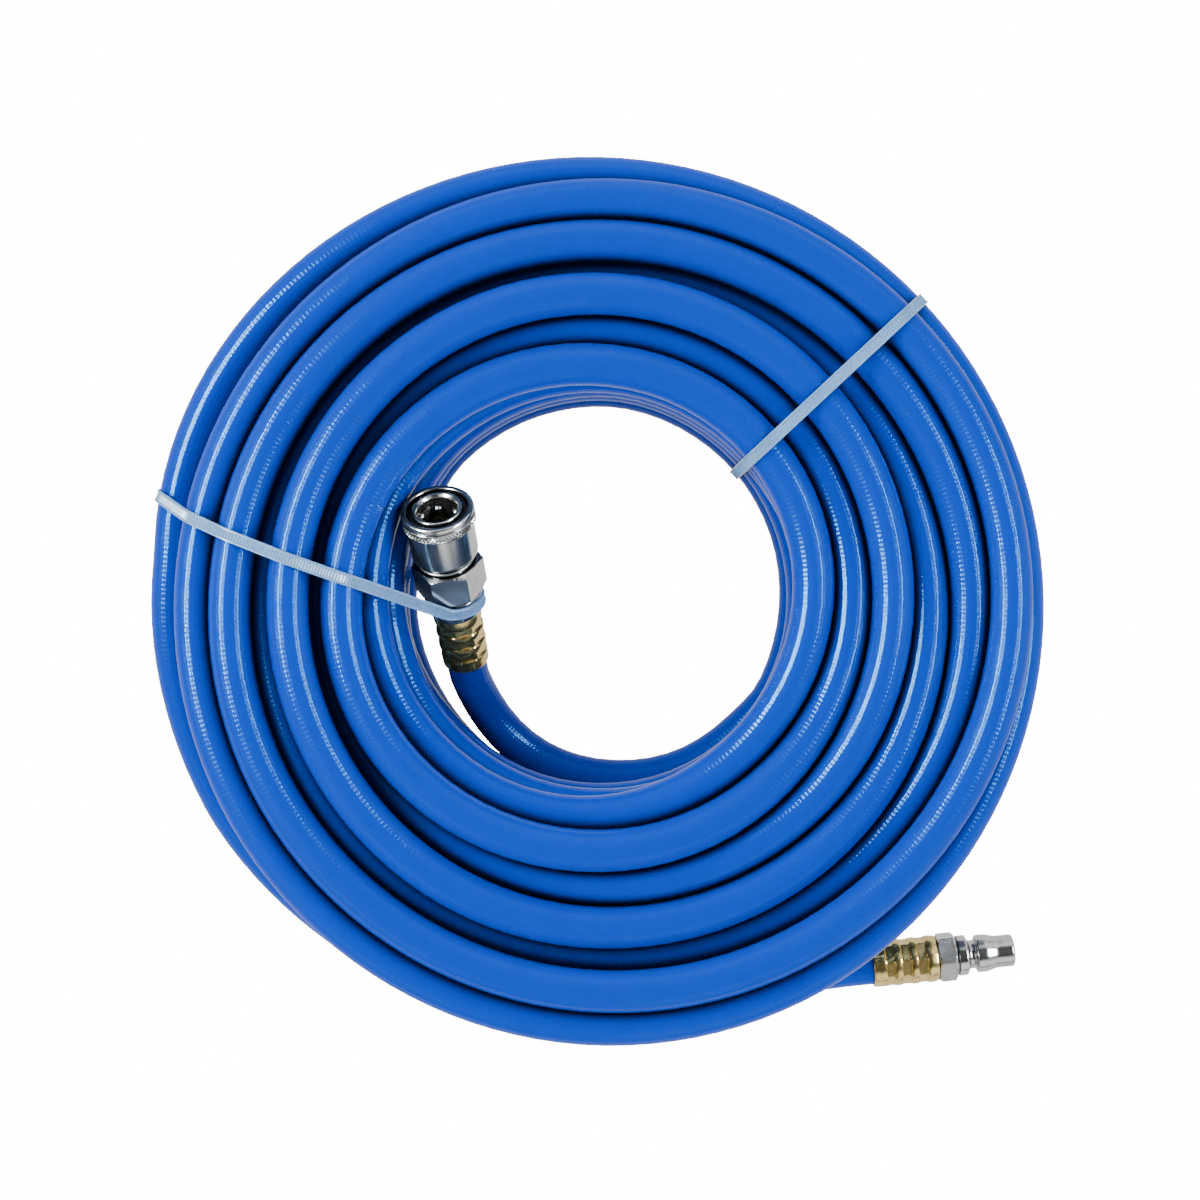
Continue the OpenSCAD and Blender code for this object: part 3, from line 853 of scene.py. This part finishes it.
@dataclass
class Socket:
    """The coupler socket: body, sleeve, balls, seals, valve, springs and neck."""

    place: Place
    mouth: float = 6.05
    tube: float = 7.8
    sleeve: float = 11.1

    def body(self) -> bpy.types.Object:
        """Body: front lip and the hexagon."""
        m = self.mouth
        profile = densify(rounded([
            (m + 0.25, -3.5, 0.05), (m, -3.4, 0.05), (m, -0.9, 0.3), (m + 0.7, 0.0, 0.35),
            (self.tube - 0.3, 0.0, 0.5), (self.tube, -1.3, 0.1), (7.3, -1.42, 0.05), (7.3, -2.4, 0.05),
            (self.tube, -2.45, 0.1), (self.tube, -20.2, 0.1), (9.2, -20.2, 0.1), (11.0, -21.2, 0.25),
            (11.0, -30.0, 0.25), (9.2, -31.0, 0.1), (7.4, -31.0, 0.05), (7.4, -20.0, 0.1),
            (5.3, -20.0, 0.1), (5.3, -15.9, 0.1), (6.9, -15.8, 0.05), (6.9, -13.2, 0.05),
            (5.3, -13.1, 0.1), (5.3, -12.6, 0.1), (m + 0.25, -12.6, 0.1)]), 0.5)
        sheet = turned(profile, self.place, 144, hexagon(19.0, -31.0, -20.2, 30.0))
        piece = make_piece("socket_body_shell", [sheet], NICKEL, Face.CRISP)
        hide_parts("socket_body")
        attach(piece, "hose")
        return piece

    def outer_sleeve(self) -> bpy.types.Object:
        """Sleeve with a rounded rim, a fine groove, a band of knurling and a plain rear."""
        r, t = self.sleeve, 10.1
        profile = densify(rounded([
            (9.25, -0.3, 0.2), (9.6, 0.0, 0.25), (r - 0.25, 0.0, 0.6), (r, -1.35, 0.25),
            (r - 0.45, -1.55, 0.06), (r - 0.45, -1.95, 0.06), (r, -2.1, 0.1), (r, -4.7, 0.15),
            (r - 0.75, -5.2, 0.15), (t, -5.5, 0.2), (t, -16.6, 0.6), (t - 0.7, -17.0, 0.2),
            (9.3, -17.0, 0.1), (9.3, -8.25, 0.1), (7.9, -8.2, 0.05), (7.9, -5.8, 0.1),
            (9.25, -3.0, 0.1)]), 0.24)

        def knurl(radius: Array, height: Array, angle: Array) -> Array:
            """Cuts two families of grooves that cross, as depth times a squared sine."""
            on = (radius > self.sleeve - 0.1) & (height < -2.2) & (height > -4.6)
            turns, run = 60.0 * angle, (height + 3.4) * TAU / 1.5
            ridge = np.maximum(np.abs(np.sin(0.5 * (turns + run))), np.abs(np.sin(0.5 * (turns - run))))
            return np.where(on, radius - 0.42 * ridge ** 2, radius + 0.0 * angle)

        sheet = turned(profile, self.place, 360, knurl)
        piece = make_piece("socket_sleeve_shell", [sheet], NICKEL, Face.TURNED)
        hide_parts("socket_sleeve")
        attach(piece, "sleeve")
        return piece

    def neck(self) -> bpy.types.Object:
        """Neck behind the hexagon, with a flange and the stem inside the hose."""
        profile = densify(rounded([
            (3.0, -27.5, 0.1), (7.35, -27.5, 0.2), (7.35, -31.55, 0.05), (9.2, -31.6, 0.3),
            (9.2, -32.7, 0.4), (8.0, -33.0, 0.3), (8.0, -39.5, 0.4), (5.1, -39.5, 0.1), (5.1, -40.6, 0.1),
            (4.2, -42.0, 0.1), (4.2, -59.0, 0.4), (3.0, -59.4, 0.1)]), 0.8)
        piece = make_piece("socket_neck", [turned(profile, self.place, 96)], NICKEL)
        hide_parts("hose_adapter")
        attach(piece, "hose")
        return piece

    def small_parts(self) -> None:
        """Rings, seals and the shut-off valve."""
        rings = (
            ("stop_ring", [(7.35, -1.45, 0.1), (8.9, -1.45, 0.3), (8.9, -2.35, 0.3), (7.35, -2.35, 0.1)],
             RING_STEEL, "ring_steel", "sleeve_stop_ring", "hose"),
            ("packing_ring", [(4.95, -13.6, 0.5), (5.4, -13.25, 0.3), (6.85, -13.25, 0.2),
                              (6.85, -15.75, 0.2), (5.4, -15.75, 0.3), (4.95, -15.4, 0.5)],
             RUBBER, "seal_rubber", "plug_packing", "hose"),
            ("valve_seal_ring", [(4.95, -20.1, 0.1), (6.6, -20.1, 0.3), (6.6, -20.75, 0.1),
                                 (4.95, -20.75, 0.1)], RUBBER, "seal_rubber", "valve_seal", "valve"),
            ("gasket_ring", [(7.45, -31.05, 0.1), (9.0, -31.05, 0.1), (9.0, -31.55, 0.1),
                             (7.45, -31.55, 0.1)], FIBRE, "gasket_fibre", "adapter_gasket", "hose"))
        for name, corners, material, slot, node, body in rings:
            sheet = turned(densify(rounded(corners), 0.5), self.place, 96)
            piece = make_piece(name, [sheet], material)
            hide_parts(node)
            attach(piece, body)
        outline = rounded([(0.05, -20.2, 0.0), (3.5, -20.2, 0.2), (3.5, -16.7, 0.1), (3.8, -16.4, 0.2),
                           (4.6, -16.4, 0.3), (4.9, -17.0, 0.2), (4.9, -20.8, 0.1), (6.9, -20.8, 0.15),
                           (6.9, -22.2, 0.15), (2.2, -22.2, 0.2), (2.2, -24.3, 0.3), (0.05, -24.6, 0.0)])
        angle = (np.arange(96) * TAU / 96)[None, :]
        r, z = outline[:, :1], outline[:, 1:]
        local = np.stack([r * np.cos(angle), r * np.sin(angle), np.broadcast_to(z, (len(z), 96))], -1)
        piece = make_piece("valve_head", [Sheet(self.place.put(local))], VALVE_BRASS)
        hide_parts("valve_poppet")
        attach(piece, "valve")

    def ball(self, number: int) -> bpy.types.Object:
        """A locking ball as rings of latitude: r sin p, r cos p."""
        radius = 1.5
        latitude = np.linspace(0.03, math.pi - 0.03, 19)[:, None]
        angle = (np.arange(32) * TAU / 32)[None, :]
        bearing = math.radians(90 + 60 * (number - 1))
        ring = radius * np.sin(latitude)
        local = np.stack([ring * np.cos(angle), ring * np.sin(angle),
                          np.broadcast_to(radius * np.cos(latitude), (19, 32))], -1)
        local += np.array([6.35 * math.cos(bearing), 6.35 * math.sin(bearing), -5.2])
        piece = make_piece(f"ball_{number}_polished", [Sheet(self.place.put(local))], BALL_STEEL,
                           Face.SOFT)
        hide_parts(f"lock_ball_{number}")
        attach(piece, f"ball_{number}")
        return piece

    def spring(self, name: str, node: str, mean: float, wire: float, back: float,
               front: float, turns: float) -> bpy.types.Object:
        """A coil spring whose end turns lie flat.

        Height along it is a smooth step of the turn number at both ends.
        """
        steps = int(turns * 36)
        t = np.linspace(0.0, 1.0, steps + 1)
        ends = 0.75 / turns
        rise = np.clip((t - ends) / (1 - 2 * ends), 0.0, 1.0)
        low, high = back + wire, front - wire
        angle = t * turns * TAU
        height = low + (high - low - 4 * wire) * rise + 2 * wire * (np.clip(t / ends, 0, 1)
                                                                  + np.clip((t - 1 + ends) / ends, 0, 1))
        centre = np.stack([mean * np.cos(angle), mean * np.sin(angle), height], 1)
        along = np.gradient(centre, axis=0)
        along /= np.linalg.norm(along, axis=1)[:, None]
        side = np.stack([np.cos(angle), np.sin(angle), np.zeros_like(angle)], 1)
        up = np.cross(along, side)
        a = (np.arange(12) * TAU / 12)[None, :, None]
        rings = centre[:, None] + wire * (np.cos(a) * side[:, None] + np.sin(a) * up[:, None])
        piece = make_piece(name, [Sheet(self.place.put(rings))], SPRING_STEEL, Face.SOFT)
        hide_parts(node)
        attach(piece, "hose")
        anchor = tuple((self.place.put(np.array([0.0, 0.0, back])) * MM).tolist())
        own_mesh(piece)
        return piece

    def build(self) -> None:
        """Makes every piece of the socket."""
        self.body()
        self.outer_sleeve()
        self.neck()
        self.small_parts()
        for number in range(1, 7):
            self.ball(number)
        self.spring("sleeve_return_spring", "sleeve_spring", 8.55, 0.38, -20.1, -8.35, 5.5)
        self.spring("valve_return_spring", "valve_spring", 5.4, 0.28, -27.4, -22.35, 4.5)


@dataclass
class Plug:
    """The plug: hexagon, collar, lock groove, nose and tip, on a barbed stem."""

    place: Place

    def build(self) -> bpy.types.Object:
        """One turned piece with a bore right through it."""
        profile = densify(rounded([
            (3.0, -19.8, 0.1), (3.6, -19.8, 0.2), (4.3, -18.5, 0.2), (4.3, -1.2, 0.2), (5.1, -1.0, 0.1),
            (5.1, 0.0, 0.05), (6.9, 0.0, 0.1), (8.05, 0.75, 0.2), (8.05, 5.05, 0.2), (6.9, 5.8, 0.1),
            (5.95, 5.85, 0.05), (5.95, 6.35, 0.05), (6.4, 6.5, 0.25), (6.4, 9.3, 0.4), (4.5, 10.1, 0.7),
            (4.5, 12.0, 0.7), (6.0, 12.6, 0.3), (6.0, 15.4, 0.4), (5.1, 18.8, 0.5), (5.1, 24.0, 0.4),
            (4.3, 24.6, 0.2), (3.9, 24.5, 0.2), (3.0, 23.5, 0.2)]), 0.4)
        sheet = turned(profile, self.place, 144, hexagon(14.0, 0.0, 5.8, 36.0))
        piece = make_piece("plug_turned", [sheet], NICKEL, Face.CRISP)
        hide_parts("plug_body")
        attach(piece, "hose")
        return piece


# ---------------------------------------------------------------- the ties

@dataclass(frozen=True)
class TiePlane:
    """The upright plane that a tie lies in: bearing, distance from the axis and lean."""

    bearing: float
    offset: float
    lean: float

    @property
    def axes(self) -> Array:
        """Rows: along the bearing, up in the plane, square to the plane."""
        b, lean = math.radians(self.bearing), math.radians(self.lean)
        run = np.array([math.cos(b), math.sin(b), 0.0])
        wide = np.array([-math.sin(b) * math.cos(lean), math.cos(b) * math.cos(lean), -math.sin(lean)])
        return np.array([run, np.cross(run, wide), wide])

    @property
    def origin(self) -> Array:
        """A point of the plane: the offset sideways from the coil's axis."""
        b = math.radians(self.bearing)
        return self.offset * np.array([-math.sin(b), math.cos(b), 0.0])

    def cut(self, line: Array) -> Array:
        """Where the line goes through the plane on the bearing's side, as plane points."""
        local = (line - self.origin) @ self.axes.T
        s = local[:, 2]
        hit = np.nonzero((s[:-1] * s[1:] <= 0) & (local[:-1, 0] > 20.0))[0]
        t = (s[hit] / (s[hit] - s[hit + 1]))[:, None]
        return (local[hit] * (1 - t) + local[hit + 1] * t)[:, :2]


def hull(points: Array) -> Array:
    """Convex outline of flat points, anticlockwise, by the monotone chain."""
    order = points[np.lexsort((points[:, 1], points[:, 0]))]

    def half(run: Array) -> list:
        """Lower half of the outline for points in this order."""
        chain: list = []
        for p in run:
            while len(chain) > 1 and ((chain[-1][0] - chain[-2][0]) * (p[1] - chain[-2][1])
                                      - (chain[-1][1] - chain[-2][1]) * (p[0] - chain[-2][0])) <= 0:
                chain.pop()
            chain.append(p)
        return chain[:-1]
    return np.array(half(order) + half(order[::-1]))


@dataclass
class CableTie:
    """A nylon tie pulled tight round the turns that it holds."""

    name: str
    node: str
    plane: TiePlane
    head_height: float = 14.5
    width: float = 3.6
    thickness: float = 1.2
    rib: float = 0.9

    def outline(self, line: Array) -> Array:
        """Tight outline of the hose's sections in the plane: the hull of their circles."""
        centres = self.plane.cut(line)
        angle = np.arange(60) * TAU / 60
        ring = 6.28 * np.stack([np.cos(angle), np.sin(angle)], 1)
        edge = hull((centres[:, None] + ring[None]).reshape(-1, 2))
        edge[:, 1] = np.maximum(edge[:, 1], 0.35 + self.thickness)
        return edge

    def loop(self, line: Array) -> tuple[Array, Array]:
        """The strap's inner line in the row frame, and the direction across it."""
        edge = self.outline(line)
        place = self.plane.origin + edge @ self.plane.axes[:2]
        return place, np.broadcast_to(self.plane.axes[2], place.shape).copy()

    def strap(self, line: Array) -> tuple[Sheet, Array, Array]:
        """Sweeps the strap's section along the loop.

        The section has two rails with a ribbed floor between them; rib height is a squared
        sine of the distance along the strap.
        """
        place, across = self.loop(line)
        both = np.concatenate([place, across], axis=1)
        both = np.concatenate([both, both[:1]])
        size = np.concatenate([[0.0], np.cumsum(np.linalg.norm(np.diff(both[:, :3], axis=0), axis=1))])
        count = int(size[-1] / (self.rib / 4))
        even = np.arange(count) * size[-1] / count
        both = np.stack([np.interp(even, size, both[:, k]) for k in range(6)], axis=1)
        soft = int(1.6 / (self.rib / 4))
        for _ in range(3):
            both = sum(np.roll(both, k, 0) for k in range(-soft, soft + 1)) / (2 * soft + 1)
        centre, wide = both[:, :3], both[:, 3:]
        run = np.roll(centre, -1, 0) - np.roll(centre, 1, 0)
        run /= np.linalg.norm(run, axis=1)[:, None]
        out = np.cross(wide, run)
        out /= np.linalg.norm(out, axis=1)[:, None]
        wide = np.cross(run, out)
        middle = centre.mean(0)
        if np.einsum("ij,ij->i", out, centre - middle).mean() < 0:
            out, wide = -out, -wide
        w, t = self.width / 2, self.thickness
        ribs = 0.30 * np.sin(np.arange(count) * TAU / 8) ** 2
        section = np.array([(-w, 0.1), (-w + 0.1, 0.0), (w - 0.1, 0.0), (w, 0.1), (w, t - 0.2),
                            (w - 0.2, t), (w - 0.5, t), (w - 0.75, t - 0.45), (0.0, t - 0.45),
                            (-w + 0.75, t - 0.45), (-w + 0.5, t), (-w + 0.2, t), (-w, t - 0.2)])
        lift = np.zeros((count, len(section)))
        lift[:, 7:10] = ribs[:, None]
        points = (centre[:, None] + section[None, :, :1] * wide[:, None]
                  + (section[None, :, 1:] + lift[..., None]) * out[:, None])
        return Sheet(points, close_rows=True), centre, out

    def head(self, centre: Array, out: Array) -> Sheet:
        """The lock on the coil's outer side: a rounded block with a tapered roof."""
        bearing = self.plane.axes[0]
        score = centre @ bearing - 1.2 * np.abs(centre[:, 2] - self.head_height)
        at = int(np.argmax(score))
        ax_out, ax_wide = out[at], self.plane.axes[2]
        ax_up = np.cross(ax_wide, ax_out)
        base = centre[at] + ax_out * (self.thickness * 0.5)
        outline = rounded([(-2.7, -2.4, 0.6), (2.7, -2.4, 0.6), (2.7, 2.4, 0.6), (-2.7, 2.4, 0.6)])
        rows = [(0.0, 1.0), (2.4, 1.0), (3.0, 0.94), (3.2, 0.8)]
        points = np.stack([base + h * ax_out + s * (outline[:, :1] * ax_wide + outline[:, 1:] * ax_up)
                           for h, s in rows])
        return Sheet(points)

    def build(self, line: Array) -> bpy.types.Object:
        """Makes the tie as one piece."""
        strap, centre, out = self.strap(line)
        piece = make_piece(self.name, [strap, self.head(centre, out)], NYLON, Face.TURNED)
        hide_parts(self.node)
        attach(piece, "hose")
        return piece


@dataclass
class NeckTie(CableTie):
    """The left tie, which leaves the coil's inner edge and goes round the socket's neck.

    It meets the neck high, over the hexagon's rear chamfer, and comes to rest behind the flange.
    """

    depths: tuple[float, float] = (33.3, 36.0)
    radii: tuple[float, float] = (10.2, 8.1)

    def loop(self, line: Array) -> tuple[Array, Array]:
        """An arc round the neck, and the coil's outline from where a line from the arc touches it."""
        angle = np.radians(np.arange(98, -26, -7))
        right, up = SOCKET.axes[0], -SOCKET.axes[1]
        along = np.linspace(0.0, 1.0, len(angle))[:, None]
        hub = np.array(SOCKET.origin) - (self.depths[0] + along * (self.depths[1] - self.depths[0])) * OUT
        radius = self.radii[0] + along * (self.radii[1] - self.radii[0])
        arc = hub + radius * (np.cos(angle)[:, None] * right + np.sin(angle)[:, None] * up)
        edge = self.outline(line)
        upper, inner = edge[:, 1] > edge[:, 1].max() / 2, edge[:, 0].min()
        near = (self.plane.axes[:2] @ (arc[0] - self.plane.origin)).ravel()
        rise = np.where(upper, np.arctan2(edge[:, 1] - near[1], edge[:, 0] - near[0]), -9.0)
        keep = np.where(upper, edge[:, 0] >= edge[np.argmax(rise), 0], edge[:, 0] > inner + 2.0)
        start = int(np.argmax(~keep))
        order = (np.arange(len(edge)) + start) % len(edge)
        coil = self.plane.origin + edge[order][keep[order]] @ self.plane.axes[:2]
        place = np.concatenate([coil, arc])
        flip = 1.0 if np.dot(self.plane.axes[2], -OUT) > 0 else -1.0
        across = np.concatenate([np.broadcast_to(self.plane.axes[2], coil.shape),
                                 np.broadcast_to(-OUT * flip, arc.shape)])
        return place, across


# ---------------------------------------------------------------- the scene

class Lamp(Enum):
    """What a lamp is for."""

    WASH = "lights surfaces"
    STREAK = "shows as a reflection"


@dataclass
class Studio:
    """Camera, lights and the white floor."""

    height: float = 0.756
    lens: float = 70.1
    white: float = 17.0
    bounce: float = 0.33
    mirror: float = 0.95
    ambient: float = 2.4
    overhead: float = 0.5

    def camera(self) -> None:
        """A camera on the coil's axis that looks straight down, with +Y up in its picture."""
        data = bpy.data.cameras.new("camera")
        data.lens, data.sensor_width, data.clip_start = self.lens, 36.0, 0.01
        obj = bpy.data.objects.new("camera", data)
        obj.location = (0.0, 0.0, self.height)
        bpy.context.scene.collection.objects.link(obj)
        bpy.context.scene.camera = obj

    def lamp(self, name: str, place: tuple, size: tuple, power: float, job: Lamp,
             colour: tuple = (1.0, 1.0, 1.0)) -> None:
        """Adds a flat lamp that points at the coil.

        Args:
            name: its name.
            place: where it stands, metres.
            size: its width and height, metres.
            power: watts.
            job: whether it lights surfaces or shows as a reflection.
            colour: of its light.
        """
        data = bpy.data.lights.new(name, "AREA")
        data.shape = "RECTANGLE"
        data.size, data.size_y, data.energy, data.color = *size, power, colour
        obj = bpy.data.objects.new(name, data)
        obj.visible_glossy = job is not Lamp.WASH
        obj.visible_diffuse = job is not Lamp.STREAK
        spot = np.array(place)
        aim = -spot / np.linalg.norm(spot)
        pitch, yaw = math.acos(-aim[2]), math.atan2(aim[1], aim[0]) - math.pi / 2
        obj.location, obj.rotation_euler = place, (pitch, 0.0, yaw)
        bpy.context.scene.collection.objects.link(obj)

    def floor(self) -> None:
        """A bright white sheet under the coil that shows no shadow."""
        mesh = bpy.data.meshes.new("floor")
        half = 3.0
        mesh.from_pydata([(-half, -half, -0.0005), (half, -half, -0.0005), (half, half, -0.0005),
                          (-half, half, -0.0005)], [], [(0, 1, 2, 3)])
        material = bpy.data.materials.new("floor_white")
        material.use_nodes = True
        tree = material.node_tree
        tree.nodes.clear()
        g = Graph(tree)
        rays = g.add("ShaderNodeLightPath").outputs
        strength = g.math("ADD", g.remap(rays["Is Camera Ray"], 0.0, 1.0, self.bounce, self.white),
                          g.math("MULTIPLY", rays["Is Glossy Ray"], self.mirror - self.bounce))
        glow = g.add("ShaderNodeEmission", {"Color": (1, 1, 1, 1), "Strength": strength})
        g.add("ShaderNodeOutputMaterial", {"Surface": glow.outputs[0]})
        mesh.materials.append(material)
        obj = bpy.data.objects.new("floor", mesh)
        bpy.context.scene.collection.objects.link(obj)

    def lights(self) -> None:
        """Strip lamps on the left and right in a soft white surrounding.

        The surrounding is bright at middle height and dark overhead, so that the gaps between
        turns stay dark. Mirror rays see bright and dark panels, as plated metal does in a studio.
        """
        world = bpy.data.worlds.new("studio")
        world.use_nodes = True
        g = Graph(world.node_tree)
        back = world.node_tree.nodes["Background"]
        direction = g.add("ShaderNodeTexCoord").outputs["Generated"]
        panels = g.add("ShaderNodeTexNoise", {"Vector": direction, "Scale": 1.6, "Detail": 1.0}).outputs[0]
        bright = g.remap(panels, 0.42, 0.60, 0.04, 1.2)
        height = g.add("ShaderNodeSeparateXYZ", {0: direction}).outputs[2]
        ring = g.remap(height, 0.86, 0.55, self.overhead, self.ambient)
        ray = g.add("ShaderNodeLightPath").outputs["Is Glossy Ray"]
        mixed = g.add("ShaderNodeMix", {0: ray, 2: ring, 3: bright}, data_type="FLOAT")
        g.tree.links.new(mixed.outputs[0], back.inputs["Strength"])
        back.inputs["Color"].default_value = (0.97, 0.99, 1.0, 1.0)
        bpy.context.scene.world = world
        cool = (0.86, 0.95, 1.0)
        self.lamp("wash", (-1.1, 0.5, 1.0), (0.5, 0.5), 9.0, Lamp.WASH)
        self.lamp("left_strip", (-1.0, 0.22, 1.0), (0.85, 0.34), 120.0, Lamp.STREAK, cool)
        self.lamp("right_strip", (1.0, 0.1, 1.0), (0.85, 0.26), 42.0, Lamp.STREAK, cool)


def main() -> None:
    """Builds everything, the hose first."""
    studio = Studio()
    studio.camera()
    path = HosePath()
    hose = Hose(path)
    line = hose.centreline()
    tube = hose.build(line)
    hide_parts("hose_coil", "hose_socket_lead", "hose_plug_lead", "hose_socket_end",
                "hose_plug_end")
    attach(tube, "hose")
    Socket(SOCKET).build()
    Ferrule("socket_ferrule_crimped", SOCKET, -FERRULE_FRONT, "socket_ferrule").build()
    plug = Plug(PLUG).build()
    collar = Ferrule("plug_ferrule_crimped", PLUG, 0.0, "plug_ferrule").build()
    CableTie("tie_right", "cable_tie_right", TiePlane(43.0, 0.0, 0.0)).build(line)
    NeckTie("tie_left", "cable_tie_left", TiePlane(159.6, 11.5, 6.5)).build(line)
    studio.floor()
    studio.lights()


if __name__ == "__main__":
    main()
